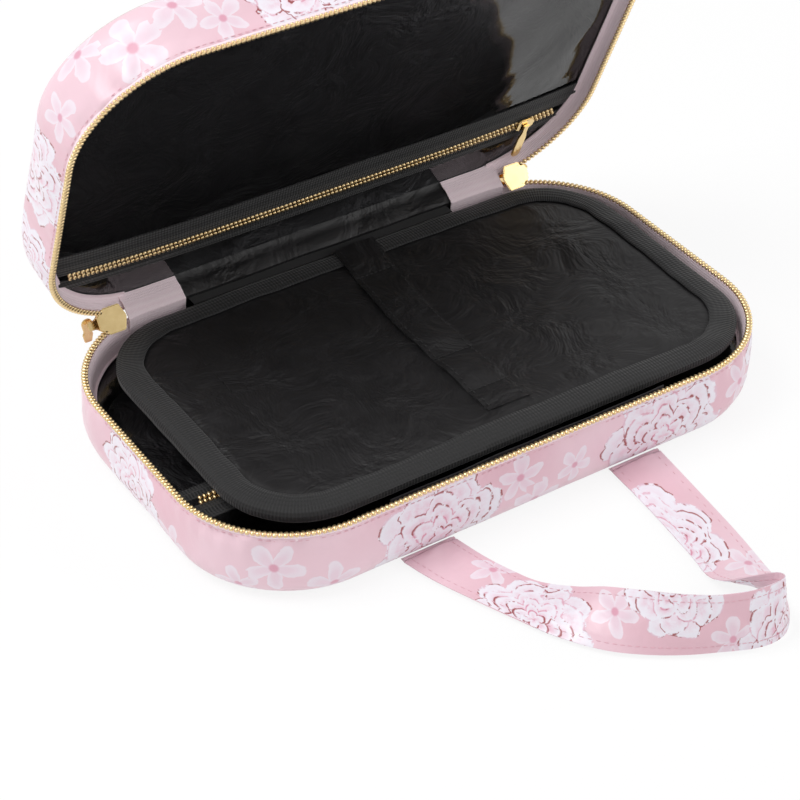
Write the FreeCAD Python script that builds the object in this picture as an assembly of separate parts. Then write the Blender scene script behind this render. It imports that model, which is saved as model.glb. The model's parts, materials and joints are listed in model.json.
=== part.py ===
import FreeCAD, Part
import math
import os

from FreeCAD import Vector

# Hanging toiletry bag: a soft clamshell of two padded trays joined by a fabric spine.
# Millimetres. Origin: centre of the base's underside. +X runs along the spine to the right,
# +Y points to the back (the spine), +Z is up. The lid is stored part open.

# Driving dimensions
BAG_WIDTH = 260.0
BAG_DEPTH = 160.0
HALF_HEIGHT = 32.0
CORNER_R = 48.0
LID_OPEN_DEG = 66.6

# Wall build-up, from the outside in
SKIN = 0.8
FOAM = 2.4
LINING = 0.6
EDGE_R = 5.0
BOARD = 1.6
BASE_WINDOW_DEPTH = 13.0
LID_WINDOW_DEPTH = 8.0
TAPE_SHOWN = 7.0

# Rim zip
RIM_GAP = 0.15
TEETH_HEIGHT = 1.6
TEETH_WIDTH = 2.0
TEETH_PROUD = 0.5
ZIP_END_ROUND_CORNER = 8.0
SLIDER_FROM_ZIP_END = 10.0
TAIL_LENGTH = 24.0

# Pocket zips and clear windows
FILM = 0.4
TAPE = 0.5
TAPE_BACK = 9.0
TAPE_FRONT = 12.0
ROW_SLOT = 1.0
ROW_WIDTH = 1.5
ROW_HEIGHT = 1.4
BASE_ZIP_Y = -27.0
LID_ZIP_FROM_SPINE = 30.0
ZIP_SIDE_MARGIN = 18.0
BASE_SLIDER_PARK = 6.0
LID_SLIDER_PARK = 10.0

# Sliders and pulls
RUN_GAP = 0.3
PLATE = 1.0
POCKET_SLIDER_LENGTH = 9.0
POCKET_SLIDER_WIDTH = 7.0
PULL_LENGTH = 27.0
RIM_PULL_LENGTH = 12.0
LID_PULL_LENGTH = 21.0
PULL_WIDTH = 4.5
PULL_THICK = 1.0
MAIN_SLIDER_LENGTH = 13.0
MAIN_SLIDER_HALF_HEIGHT = 5.0
MAIN_SLIDER_INNER = 4.8
MAIN_SLIDER_OUTER = 0.6
MAIN_SLIDER_TRAVEL = 5.0
NOTCH_GAP = 0.5

# Page over the base
PAGE_GAP_LEFT = 16.0
PAGE_GAP_RIGHT = 6.0
PAGE_GAP_FRONT = 10.0
PAGE_GAP_BACK = 7.5
PAGE_CORNER_CUT = 13.0
PAGE_BELOW_RIM = 0.8
PAGE_THICK = 5.4
PAGE_SKIN = 0.6
BINDING_WIDTH = 11.0
STRAP_WIDTH = 20.0
STRAP_LEFT = -3.5
STRAP_SHORT = 17.0

# Handle
HANDLE_WIDTH = 24.0
RIBBON_DRAWN_WIDTH = 24.0
HANDLE_THICK = 2.4
HANDLE_BASE_Z = 1.4
ROOT_HALF_SPAN = 49.0
ROOT_GAP = 1.2
ANCHOR_INSET = 0.5

# Slip panel inside the front wall
SLIP_MARGIN = 15.0
SLIP_BEHIND_TAPE = 1.6
SLIP_BELOW_RIM = 3.0

# Worked-out places
HINGE_Y = BAG_DEPTH / 2
FRONT_Y = -BAG_DEPTH / 2
HINGE_Z = HALF_HEIGHT
BASE_PADDING_TOP = HALF_HEIGHT - BASE_WINDOW_DEPTH
LID_PADDING_TOP = HALF_HEIGHT - LID_WINDOW_DEPTH
BAND_TOP = HALF_HEIGHT - TAPE_SHOWN
ZIP_END_X = BAG_WIDTH / 2 - CORNER_R + ZIP_END_ROUND_CORNER
LID_ZIP_Y = HINGE_Y - LID_ZIP_FROM_SPINE
POCKET_ZIP_HALF = BAG_WIDTH / 2 - ZIP_SIDE_MARGIN
SLIDER_X = ZIP_END_X + SLIDER_FROM_ZIP_END
PAGE_LEFT = -BAG_WIDTH / 2 + PAGE_GAP_LEFT
PAGE_RIGHT = BAG_WIDTH / 2 - PAGE_GAP_RIGHT
PAGE_FRONT = FRONT_Y + PAGE_GAP_FRONT
PAGE_BACK = HINGE_Y - PAGE_GAP_BACK
PAGE_R = CORNER_R - PAGE_CORNER_CUT
PAGE_TOP = HALF_HEIGHT - PAGE_BELOW_RIM
STRAP_FRONT = PAGE_FRONT + STRAP_SHORT
TEETH_TOP = HALF_HEIGHT - RIM_GAP
TEETH_BASE = TEETH_TOP - TEETH_HEIGHT
WALL = SKIN + FOAM + LINING
SLIDER_REACH = math.hypot(MAIN_SLIDER_INNER, MAIN_SLIDER_HALF_HEIGHT)

shapes = {}


def block(x0, x1, y0, y1, z0, z1):
    return Part.makeBox(x1 - x0, y1 - y0, z1 - z0, Vector(x0, y0, z0))


def rounded_face(x0, x1, y0, y1, radius, z):
    """Rounded rectangle as a face at height z."""
    corners = [(x1 - radius, y0 + radius, -90), (x1 - radius, y1 - radius, 0),
               (x0 + radius, y1 - radius, 90), (x0 + radius, y0 + radius, 180)]
    arcs = []
    for cx, cy, start in corners:
        points = []
        for turn in (0, 45, 90):
            angle = math.radians(start + turn)
            points.append(Vector(cx + radius * math.cos(angle), cy + radius * math.sin(angle), z))
        arcs.append(points)
    edges = []
    for index, points in enumerate(arcs):
        following = arcs[(index + 1) % 4]
        edges.append(Part.Arc(*points).toShape())
        edges.append(Part.makeLine(points[2], following[0]))
    return Part.Face(Part.Wire(edges))


def plan(inset, z0, z1):
    """Solid of the bag's plan outline, moved in by inset."""
    face = rounded_face(-BAG_WIDTH / 2 + inset, BAG_WIDTH / 2 - inset,
                        -BAG_DEPTH / 2 + inset, BAG_DEPTH / 2 - inset, CORNER_R - inset, z0)
    return face.extrude(Vector(0, 0, z1 - z0))


def soft_plan(inset, z0, z1):
    """The plan outline with its lower edge rounded, as a padded tray has."""
    body = plan(inset, z0, z1)
    lower = [e for e in body.Edges if e.BoundBox.ZMax < z0 + 0.01]
    return body.makeFillet(EDGE_R - inset, lower)


def ring(outer, inner, z0, z1):
    return plan(outer, z0, z1).cut(plan(inner, z0 - 1, z1 + 1))


def spine_zone(z0, z1):
    return block(-ZIP_END_X, ZIP_END_X, 0, BAG_DEPTH, z0, z1)


# One padded tray, open side up with its rim at HALF_HEIGHT. The base uses it as it is and the
# lid is its mirror image, so both halves share every rule below.
def tray(name, cover, padding_top, zip_y):
    outer = soft_plan(0, 0, EDGE_R + 1)
    inner = soft_plan(SKIN, SKIN, EDGE_R + 2)
    parts = {}
    parts[cover] = outer.cut(inner)
    parts["side_band"] = ring(0, SKIN, EDGE_R + 1, BAND_TOP)
    padding = soft_plan(SKIN, SKIN, padding_top)
    parts["wall_foam"] = padding.cut(plan(SKIN + FOAM, 0, padding_top + 1))
    parts[cover.replace("panel", "board")] = padding.common(plan(SKIN + FOAM, SKIN, SKIN + BOARD))
    floor_z = SKIN + BOARD
    lining = plan(SKIN + FOAM, floor_z, padding_top)
    parts["lining"] = lining.cut(plan(WALL, floor_z + LINING, padding_top + 1))
    spine = spine_zone(0, HALF_HEIGHT)
    tape = ring(SKIN, 2 * SKIN, padding_top, TEETH_BASE)
    parts["zip_tape"] = tape.cut(spine)
    parts["zip_teeth"] = ring(-TEETH_PROUD, TEETH_WIDTH - TEETH_PROUD, TEETH_BASE, TEETH_TOP)
    slider_end = SLIDER_X + MAIN_SLIDER_LENGTH / 2
    parts["zip_teeth"] = parts["zip_teeth"].cut(block(-slider_end, slider_end, 0, BAG_DEPTH, 0, BAG_DEPTH))
    parts["spine_cover"] = ring(0, SKIN, BAND_TOP, TEETH_TOP).common(spine)
    parts["spine_lining"] = ring(SKIN, 2 * SKIN, padding_top, TEETH_TOP).common(spine)
    tails = ring(2 * SKIN, 3 * SKIN, padding_top + FILM + TAPE + RUN_GAP, TEETH_TOP)
    for side, sign in (("left", -1), ("right", 1)):
        ends = sorted((sign * ZIP_END_X, sign * (ZIP_END_X - TAIL_LENGTH)))
        parts["zip_tail_" + side] = tails.common(block(ends[0], ends[1], 0, BAG_DEPTH, 0, HALF_HEIGHT))
    parts.update(window(padding_top, zip_y))
    for part, shape in parts.items():
        shapes[name + "_" + part] = shape


# A clear window in two halves with a zip between them: film, woven tapes and two rows of teeth.
def window(z0, zip_y):
    parts = {}
    sheet = plan(2 * SKIN, z0, z0 + FILM)
    webbing = plan(2 * SKIN, z0 + FILM, z0 + FILM + TAPE)
    slit = (ROW_SLOT + 2 * ROW_WIDTH) / 2
    span = BAG_WIDTH
    for side, sign, width in (("front", -1, TAPE_FRONT), ("back", 1, TAPE_BACK)):
        half = sorted((zip_y + sign * slit, zip_y + sign * span))
        parts["window_" + side] = sheet.common(block(-span, span, half[0], half[1], 0, BAG_DEPTH))
        strip = sorted((zip_y + sign * slit, zip_y + sign * width))
        parts["pocket_tape_" + side] = webbing.common(block(-span, span, strip[0], strip[1], 0, BAG_DEPTH))
        row = sorted((zip_y + sign * ROW_SLOT / 2, zip_y + sign * slit))
        parts["pocket_teeth_" + side] = block(-POCKET_ZIP_HALF, POCKET_ZIP_HALF, row[0], row[1],
                                              z0, z0 + ROW_HEIGHT)
    return parts


# Pocket slider: a plate above and below the chain with a thin blade between the rows, and a
# flat pull above it that either swings flat about a stud or lifts about a bar.
def pocket_slider(name, x, z0, zip_y, pull_length, swings_flat):
    low = z0 - FILM - PLATE
    top = z0 + ROW_HEIGHT + RUN_GAP
    half_length = POCKET_SLIDER_LENGTH / 2
    half_width = POCKET_SLIDER_WIDTH / 2
    blade = ROW_SLOT / 2 - RUN_GAP + 0.1
    left, right = x - half_length, x + half_length
    front, back = zip_y - half_width, zip_y + half_width
    upper = block(left, right, front, back, top, top + PLATE)
    lower = block(left, right, front, back, low, low + PLATE)
    web = block(x - 2, x + 2, zip_y - blade, zip_y + blade, low, top + PLATE)
    shapes[name + "_slider"] = upper.fuse(lower).fuse(web).removeSplitter()
    pull_z = top + PLATE + RUN_GAP
    half_pull = PULL_WIDTH / 2
    if swings_flat:
        head = Part.makeCylinder(half_pull, PULL_THICK, Vector(x, zip_y, pull_z))
        stem = block(x, x + pull_length, zip_y - half_pull, zip_y + half_pull, pull_z, pull_z + PULL_THICK)
    else:
        root = Vector(x - half_pull, zip_y, pull_z + PULL_THICK / 2)
        head = Part.makeCylinder(PULL_THICK / 2, PULL_WIDTH, root, Vector(1, 0, 0))
        stem = block(x - half_pull, x + half_pull, zip_y, zip_y + pull_length, pull_z, pull_z + PULL_THICK)
    shapes[name + "_pull"] = head.fuse(stem).removeSplitter()


# Page: a padded leaf with a folded binding, hinged at the back above the base pocket.
def page():
    bottom = PAGE_TOP - PAGE_THICK

    def leaf(inset, z0, z1):
        face = rounded_face(PAGE_LEFT + inset, PAGE_RIGHT - inset, PAGE_FRONT + inset,
                            PAGE_BACK - inset, PAGE_R - inset, z0)
        return face.extrude(Vector(0, 0, z1 - z0))

    rim = leaf(0, bottom, PAGE_TOP).cut(leaf(PAGE_SKIN, bottom + PAGE_SKIN, PAGE_TOP - PAGE_SKIN))
    shapes["page_binding"] = rim.cut(leaf(BINDING_WIDTH, bottom - 1, PAGE_TOP + 1))
    low = bottom + PAGE_SKIN
    high = PAGE_TOP - PAGE_SKIN
    shapes["page_bottom_cover"] = leaf(PAGE_SKIN, low, low + PAGE_SKIN)
    shapes["page_foam"] = leaf(PAGE_SKIN, low + PAGE_SKIN, high - PAGE_SKIN)
    shapes["page_top_cover"] = leaf(PAGE_SKIN, high - PAGE_SKIN, high)
    strap_back = PAGE_BACK - 1
    lower = block(STRAP_LEFT, STRAP_LEFT + STRAP_WIDTH, STRAP_FRONT, PAGE_BACK - BINDING_WIDTH,
                  high, PAGE_TOP)
    clear = leaf(BINDING_WIDTH, 0, BAG_DEPTH)
    upper = block(STRAP_LEFT, STRAP_LEFT + STRAP_WIDTH, STRAP_FRONT, strap_back,
                  PAGE_TOP, PAGE_TOP + PAGE_SKIN / 2)
    shapes["page_strap"] = lower.common(clear).fuse(upper).removeSplitter()
    band_half = ZIP_END_X - TAIL_LENGTH - 2
    shapes["page_hinge_band"] = block(-band_half, band_half, PAGE_BACK + RUN_GAP + 0.1,
                                      HINGE_Y - 2 * SKIN, PAGE_TOP - 1.2, PAGE_TOP - 0.6)


# Rim sliders wait at the spine ends of the zip, tilted half as far as the lid, with their pulls
# hanging outside. Base walls are notched close round them, lid walls by their turning circle.
def rim_sliders():
    for side, sign in (("left", -1), ("right", 1)):
        def local(x0, x1, y0, y1, z0, z1):
            ends = sorted((sign * x0, sign * x1))
            body = block(ends[0], ends[1], HINGE_Y + y0, HINGE_Y + y1, HINGE_Z + z0, HINGE_Z + z1)
            return body

        near = SLIDER_X - MAIN_SLIDER_LENGTH / 2
        far = SLIDER_X + MAIN_SLIDER_LENGTH / 2
        high = MAIN_SLIDER_HALF_HEIGHT
        inner = local(near, far, -MAIN_SLIDER_INNER, -MAIN_SLIDER_INNER + PLATE, -high, high)
        outer = local(near, far, -MAIN_SLIDER_OUTER, PLATE - MAIN_SLIDER_OUTER, -high, high)
        post = local(near, near + 2.5, -MAIN_SLIDER_INNER, 0, -1.2, 1.2)
        lug = local(far - 1, far + 3.5, -MAIN_SLIDER_OUTER, PLATE - MAIN_SLIDER_OUTER, -2, 2)
        slider = inner.fuse(outer).fuse(post).fuse(lug).removeSplitter()
        tilt = LID_OPEN_DEG / 2
        pivot = Vector(0, HINGE_Y, HINGE_Z)
        slider.rotate(pivot, Vector(-1, 0, 0), tilt)
        shapes["main_slider_" + side] = slider
        notch = local(near - NOTCH_GAP, far + MAIN_SLIDER_TRAVEL + NOTCH_GAP,
                      -MAIN_SLIDER_INNER - NOTCH_GAP, 2 * high, -high - NOTCH_GAP, 4 * high)
        notch.rotate(pivot, Vector(-1, 0, 0), tilt)
        sweep = Part.makeCylinder(SLIDER_REACH + NOTCH_GAP, far - near + MAIN_SLIDER_TRAVEL + 1,
                                  Vector(sign * (near - NOTCH_GAP), HINGE_Y, HINGE_Z), Vector(sign, 0, 0))
        for node in list(shapes):
            if node.startswith("base_"):
                shapes[node] = shapes[node].cut(notch)
            if node.startswith("lid_"):
                shapes[node] = shapes[node].cut(sweep)
        eye_x = sign * (far + 2)
        eye_y = HINGE_Y + 2 * PLATE
        top = Part.makeCylinder(2.5, PULL_THICK, Vector(eye_x, eye_y, HINGE_Z), Vector(0, 1, 0))
        pull_end = HINGE_Z - RIM_PULL_LENGTH + 3
        stem = block(eye_x - 2.5, eye_x + 2.5, eye_y, eye_y + PULL_THICK, pull_end, HINGE_Z)
        shapes["main_pull_" + side] = top.fuse(stem).removeSplitter()


# Handle: one long ribbon. Its legs lie flat and it rolls over between them, so that the front
# part stands on its outer edge. Each station gives the outer and then the inner edge of the
# ribbon as (x, distance in front of the wall, height of the underside).
def handle():
    outer_x = ROOT_HALF_SPAN + HANDLE_WIDTH / 2
    inner_x = outer_x - RIBBON_DRAWN_WIDTH
    stations = [
        ((-outer_x, ROOT_GAP, 0), (-inner_x, ROOT_GAP, 0)),
        ((-57, 14, 0), (-34, 14, 0)),
        ((-51, 30, 0), (-30, 26, 0)),
        ((-43, 48, 0), (-24, 38, 1)),
        ((-36, 65, 0), (-17, 53, 8)),
        ((-26, 80, 0), (-13, 66, 16)),
        ((-15, 89, 0), (-9, 80, 21.5)),
        ((-3, 97, 0), (0, 91, 23)),
        ((8, 103, 0), (10, 99, 23.5)),
        ((19, 108, 0), (22, 103, 23.5)),
        ((31, 109, 0), (35, 103, 23.5)),
        ((41, 102, 0), (33, 94, 21)),
        ((48, 90, 0), (29, 84, 13)),
        ((52, 75, 0), (29, 69, 3)),
        ((55, 54, 0), (32, 55, 0)),
        ((58, 28, 0), (35, 28, 0)),
        ((outer_x, ROOT_GAP, 0), (inner_x, ROOT_GAP, 0)),
    ]
    outer = [Vector(x, FRONT_Y - reach, HANDLE_BASE_Z + rise) for (x, reach, rise), _ in stations]
    drawn = [Vector(x, FRONT_Y - reach, HANDLE_BASE_Z + rise) for _, (x, reach, rise) in stations]
    widened = HANDLE_WIDTH / RIBBON_DRAWN_WIDTH
    inner = [edge + (far - edge) * widened for edge, far in zip(outer, drawn)]
    sections = []
    last = len(stations) - 1
    for index in range(last + 1):
        before = max(index - 1, 0)
        after = min(index + 1, last)
        along = outer[after] + inner[after] - outer[before] - inner[before]
        if index in (0, last):
            along = Vector(0, -1 if index == 0 else 1, 0)
        across = (inner[index] - outer[index]).normalize()
        normal = along.cross(across).normalize() * (HANDLE_THICK / 2)
        corners = [outer[index] - normal, inner[index] - normal]
        corners += [inner[index] + normal, outer[index] + normal]
        sections.append(Part.makePolygon(corners + corners[:1]))
    shapes["handle_strap"] = Part.makeLoft(sections, True, True)
    for side, sign in (("left", -1), ("right", 1)):
        middle = sign * ROOT_HALF_SPAN
        half = HANDLE_WIDTH / 2 - ANCHOR_INSET
        stub = block(middle - half, middle + half, FRONT_Y - 0.3, FRONT_Y + 3, 0.6, 2.2)
        shapes["handle_anchor_" + side] = stub.cut(soft_plan(0, 0, EDGE_R + 1))


tray("base", "bottom_panel", BASE_PADDING_TOP, BASE_ZIP_Y)
tray("lid", "top_panel", LID_PADDING_TOP, LID_ZIP_Y)
pocket_slider("base_pocket", -POCKET_ZIP_HALF + BASE_SLIDER_PARK, BASE_PADDING_TOP, BASE_ZIP_Y,
              PULL_LENGTH, True)
pocket_slider("lid_pocket", POCKET_ZIP_HALF - LID_SLIDER_PARK, LID_PADDING_TOP, LID_ZIP_Y,
              LID_PULL_LENGTH, False)
panel_half = ROOT_HALF_SPAN + SLIP_MARGIN
panel_y = FRONT_Y + 2 * SKIN + SLIP_BEHIND_TAPE
shapes["front_slip_panel"] = block(-panel_half, panel_half, panel_y, panel_y + SKIN,
                                   BASE_PADDING_TOP + FILM, HALF_HEIGHT - SLIP_BELOW_RIM)
handle()

# Close the lid onto the base as a mirror image, then open it to its stored angle.
lid_nodes = [node for node in shapes if node.startswith("lid_")]
for node in lid_nodes:
    shapes[node] = shapes[node].mirror(Vector(0, 0, HALF_HEIGHT), Vector(0, 0, 1))
page()
rim_sliders()
for node in lid_nodes:
    shapes[node].rotate(Vector(0, HINGE_Y, HINGE_Z), Vector(-1, 0, 0), LID_OPEN_DEG)

os.makedirs("parts", exist_ok=True)
for node, shape in shapes.items():
    shape.exportStep("parts/" + node + ".step")
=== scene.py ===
import json
import math

import bmesh
import bpy
import numpy as np
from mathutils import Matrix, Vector, noise


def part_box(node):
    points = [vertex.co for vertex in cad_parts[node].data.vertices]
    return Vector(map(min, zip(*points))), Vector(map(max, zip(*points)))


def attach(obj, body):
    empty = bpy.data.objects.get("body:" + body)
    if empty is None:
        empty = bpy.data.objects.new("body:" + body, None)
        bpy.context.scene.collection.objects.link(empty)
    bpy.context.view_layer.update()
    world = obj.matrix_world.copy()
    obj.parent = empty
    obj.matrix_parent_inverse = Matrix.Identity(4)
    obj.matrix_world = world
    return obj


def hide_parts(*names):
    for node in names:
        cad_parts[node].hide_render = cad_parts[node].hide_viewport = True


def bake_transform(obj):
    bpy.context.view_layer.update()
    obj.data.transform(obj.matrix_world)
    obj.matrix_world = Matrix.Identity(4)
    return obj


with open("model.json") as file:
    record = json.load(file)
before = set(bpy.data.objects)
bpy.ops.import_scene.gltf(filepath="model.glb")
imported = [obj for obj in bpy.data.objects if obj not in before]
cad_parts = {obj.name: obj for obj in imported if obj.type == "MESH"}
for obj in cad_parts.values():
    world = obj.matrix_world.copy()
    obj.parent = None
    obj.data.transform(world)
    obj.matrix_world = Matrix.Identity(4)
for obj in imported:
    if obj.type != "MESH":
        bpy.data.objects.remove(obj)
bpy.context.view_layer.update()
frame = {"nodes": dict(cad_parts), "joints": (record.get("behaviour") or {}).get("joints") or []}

# The bag's plan and the hinge, read from the frame. Everything below is in metres, and each half
# is shaped as a tray with its rim up: the lid is the same tray, mirrored and opened.
MM = 0.001
bpy.ops.object.select_all(action="DESELECT")
band_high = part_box("base_side_band")[1]
HALF_X = band_high.x
HALF_Y = band_high.y
lid_joint = next(joint for joint in frame["joints"] if joint["name"] == "lid_hinge")
HINGE = Vector(lid_joint["pos_m"])
RIM = HINGE.z
LID_ANGLE = -math.radians(lid_joint["range_deg"][0])
CORNER = 48 * MM
ZIP_END = 90 * MM
CLOTH = 0.8 * MM
STITCH_PITCH = 2.9 * MM
# Rings further in than these, in millimetres, are shrunk from the ring at that inset.
SHELL_REACH = 46.0
LINING_REACH = 40.0
PAGE_REACH = 33.0
# Steps along the rim tape, across a pocket's tape, and round a lining.
TAPE_STEPS = 420
POCKET_STEPS = 200
LINING_ROUND = 300


def in_place(points, half):
    """Tray coordinates to the row frame, for the base or for the lid at its stored angle."""
    points = np.array(points, float)
    if half == "base":
        return points
    dy = points[..., 1] - HINGE.y
    dz = RIM - points[..., 2]
    placed = points.copy()
    placed[..., 1] = HINGE.y + dy * math.cos(LID_ANGLE) + dz * math.sin(LID_ANGLE)
    placed[..., 2] = RIM - dy * math.sin(LID_ANGLE) + dz * math.cos(LID_ANGLE)
    return placed


def outline_point(back, half_x, half_y, corner, turn, inset):
    """Point and outward normal on a rounded outline; turn runs 0 to 1 clockwise from its back's middle."""
    straight_x = half_x - corner
    straight_y = half_y - corner
    arc = math.pi / 2 * corner
    sides = [(straight_x, 0), (arc, 1), (2 * straight_y, 0), (arc, 1), (2 * straight_x, 0),
             (arc, 1), (2 * straight_y, 0), (arc, 1), (straight_x, 0)]
    distance = (turn % 1.0) * sum(length for length, _ in sides)
    place = Vector(back)
    heading = 0.0
    for length, curved in sides:
        step = min(distance, length)
        forward = Vector((math.cos(heading), math.sin(heading)))
        right = Vector((forward.y, -forward.x))
        if curved:
            centre = place + right * corner
            swing = step / corner
            normal = -right * math.cos(swing) + forward * math.sin(swing)
            place = centre + normal * corner
            heading -= swing
        else:
            place = place + forward * step
            normal = -right
        distance -= step
        if distance <= 0:
            break
    return place - normal * inset, normal


def rim_point(turn, inset=0.0):
    return outline_point((0, HALF_Y), HALF_X, HALF_Y, CORNER, turn, inset)


PERIMETER = 4 * (HALF_X + HALF_Y - 2 * CORNER) + 2 * math.pi * CORNER
# Where the zip leaves the spine at each end, as a share of the way round.
ZIP_START = (ZIP_END + 0.6 * MM) / PERIMETER


def new_piece(name, mesh):
    piece = bpy.data.objects.new(name, mesh)
    bpy.context.scene.collection.objects.link(piece)
    return piece


def fabric(name, points, uv, thickness, material, half="base", closed=False, offset=-1.0):
    """A woven piece from a grid of points, with a cloth map in metres and a real thickness."""
    points = in_place(points, half)
    rows, columns = points.shape[:2]
    mesh = bpy.data.meshes.new(name)
    faces = []
    corners = []
    last = columns if closed else columns - 1
    for row in range(rows - 1):
        for column in range(last):
            beyond = (column + 1) % columns
            faces.append((row * columns + column, row * columns + beyond,
                          (row + 1) * columns + beyond, (row + 1) * columns + column))
            right = column + 1
            corners.append((uv(row, column), uv(row, right), uv(row + 1, right), uv(row + 1, column)))
    if half == "lid":
        faces = [face[::-1] for face in faces]
        corners = [corner[::-1] for corner in corners]
    mesh.from_pydata(points.reshape(-1, 3).tolist(), [], faces)
    layer = mesh.uv_layers.new(name="cloth")
    layer.data.foreach_set("uv", np.array(corners, float).ravel())
    if closed:
        welded = bmesh.new()
        welded.from_mesh(mesh)
        bmesh.ops.remove_doubles(welded, verts=welded.verts, dist=0.04 * MM)
        welded.to_mesh(mesh)
        welded.free()
    return finish_piece(new_piece(name, mesh), material, thickness, offset)


def finish_piece(piece, material, thickness=0.0, offset=-1.0, angle=50):
    """Thickness, smooth shading and the material of one piece."""
    bpy.ops.object.select_all(action="DESELECT")
    bpy.context.view_layer.objects.active = piece
    piece.select_set(True)
    if thickness:
        wall = piece.modifiers.new("wall", "SOLIDIFY")
        wall.thickness = thickness
        wall.offset = offset
        bpy.ops.object.modifier_apply(modifier="wall")
    bpy.ops.object.shade_smooth_by_angle(angle=math.radians(angle))
    piece.data.materials.clear()
    piece.data.materials.append(material)
    piece.select_set(False)
    return piece


def plain_map(row, column):
    """A cloth map for a piece whose finish doesn't follow its weave."""
    return (column * 2 * MM, row * 2 * MM)


def ripple(x, y, z=0.0):
    return noise.noise(Vector((x, y, z)))


# Shader expressions. A Field is a number or a colour that varies over a surface.
class Field:
    def __init__(self, tree, socket):
        self.tree = tree
        self.socket = socket

    def made(self, operation, *values):
        return self.tree.add("ShaderNodeMath", {"operation": operation}, *values)

    def __add__(self, other):
        return self.made("ADD", self, other)

    def __radd__(self, other):
        return self.made("ADD", other, self)

    def __sub__(self, other):
        return self.made("SUBTRACT", self, other)

    def __rsub__(self, other):
        return self.made("SUBTRACT", other, self)

    def __mul__(self, other):
        return self.made("MULTIPLY", self, other)

    def __rmul__(self, other):
        return self.made("MULTIPLY", other, self)

    def sine(self):
        return self.made("SINE", self)


class Finish:
    """One material being mixed: nodes are added by type, settings and inputs."""

    def __init__(self, name):
        self.material = bpy.data.materials.new(name)
        self.material.use_nodes = True
        self.nodes = self.material.node_tree.nodes
        self.links = self.material.node_tree.links
        self.shader = self.nodes["Principled BSDF"]

    def add(self, kind, settings, *values, out=0):
        node = self.nodes.new(kind)
        for key, value in settings.items():
            setattr(node, key, value)
        named = dict(values[-1]) if values and isinstance(values[-1], dict) else {}
        plain = values[:-1] if named else values
        for key, value in [*enumerate(plain), *named.items()]:
            self.give(node.inputs[key], value)
        return Field(self, node.outputs[out])

    def give(self, socket, value):
        if isinstance(value, Field):
            self.links.new(value.socket, socket)
        elif value is not None:
            socket.default_value = value

    def mix(self, share, first, second):
        node = self.nodes.new("ShaderNodeMix")
        node.data_type = "RGBA"
        for socket, value in ((node.inputs[0], share), (node.inputs[6], first), (node.inputs[7], second)):
            self.give(socket, value if isinstance(value, (Field, float, int)) else (*value, 1))
        return Field(self, node.outputs[2])

    def step(self, value, low, high):
        """0 below low, 1 above high, smooth between."""
        return self.add("ShaderNodeMapRange", {"interpolation_type": "SMOOTHSTEP"}, value, low, high)

    def cloth(self):
        """The piece's own cloth map, in metres."""
        return self.add("ShaderNodeUVMap", {"uv_map": "cloth"})

    def spot(self):
        """The place on the piece itself, in metres."""
        return self.add("ShaderNodeTexCoord", {}, out=3)

    def sheen(self, weight, rough):
        self.shader.inputs["Sheen Weight"].default_value = weight
        self.shader.inputs["Sheen Roughness"].default_value = rough

    def grain(self, vector, scale, detail=2.0, rough=0.5, warp=0.0):
        return self.add("ShaderNodeTexNoise", {}, vector,
                        {"Scale": scale, "Detail": detail, "Roughness": rough, "Distortion": warp})

    def parts(self, vector):
        node = self.nodes.new("ShaderNodeSeparateXYZ")
        self.links.new(vector.socket, node.inputs[0])
        return [Field(self, output) for output in node.outputs]

    def bump(self, height, strength, depth=0.0002, under=None):
        return self.add("ShaderNodeBump", {}, {"Height": height, "Strength": strength,
                                               "Distance": depth, "Normal": under})

    def set(self, **values):
        for key, value in values.items():
            self.give(self.shader.inputs[key.replace("_", " ")], value)
        return self.material


# Printed satin: pale pink polyester with large loose blossoms, small sprigs and a soft sheen.
# Each flower is laid on the cloth one by one: two more maps give a place's offset from the nearest
# flower, and the finish paints one blossom and one sprig from those offsets. MAP_SHARE is how
# much of a map one flower's radius takes up.
MAP_SHARE = 0.05


def lay_flowers(piece, blossoms, sprigs):
    """Write the flower maps. A flower is (u, v, radius, turn) on the cloth map, in metres."""
    cloth = piece.data.uv_layers["cloth"]
    places = np.empty(2 * len(cloth.data))
    cloth.data.foreach_get("uv", places)
    places = places.reshape(-1, 2)
    faces = len(piece.data.polygons)
    starts, counts = np.empty(faces, int), np.empty(faces, int)
    piece.data.polygons.foreach_get("loop_start", starts)
    piece.data.polygons.foreach_get("loop_total", counts)
    middles = np.add.reduceat(places, starts) / counts[:, None]
    for name, flowers in (("bloom", blossoms), ("sprig", sprigs)):
        flowers = np.array(flowers or [(-9.0, -9.0, 0.01, 0.0)])
        away = np.linalg.norm(middles[:, None] - flowers[None, :, :2], axis=2) / flowers[:, 2]
        nearest = flowers[np.repeat(away.argmin(1), counts)]
        offset = (places - nearest[:, :2]) / nearest[:, 2:3]
        cosine, sine = np.cos(nearest[:, 3]), np.sin(nearest[:, 3])
        turned_offset = np.stack([offset[:, 0] * cosine - offset[:, 1] * sine,
                                  offset[:, 0] * sine + offset[:, 1] * cosine], 1)
        layer = piece.data.uv_layers.new(name=name)
        layer.data.foreach_set("uv", (0.5 + MAP_SHARE * np.clip(turned_offset, -9, 9)).ravel())


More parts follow.
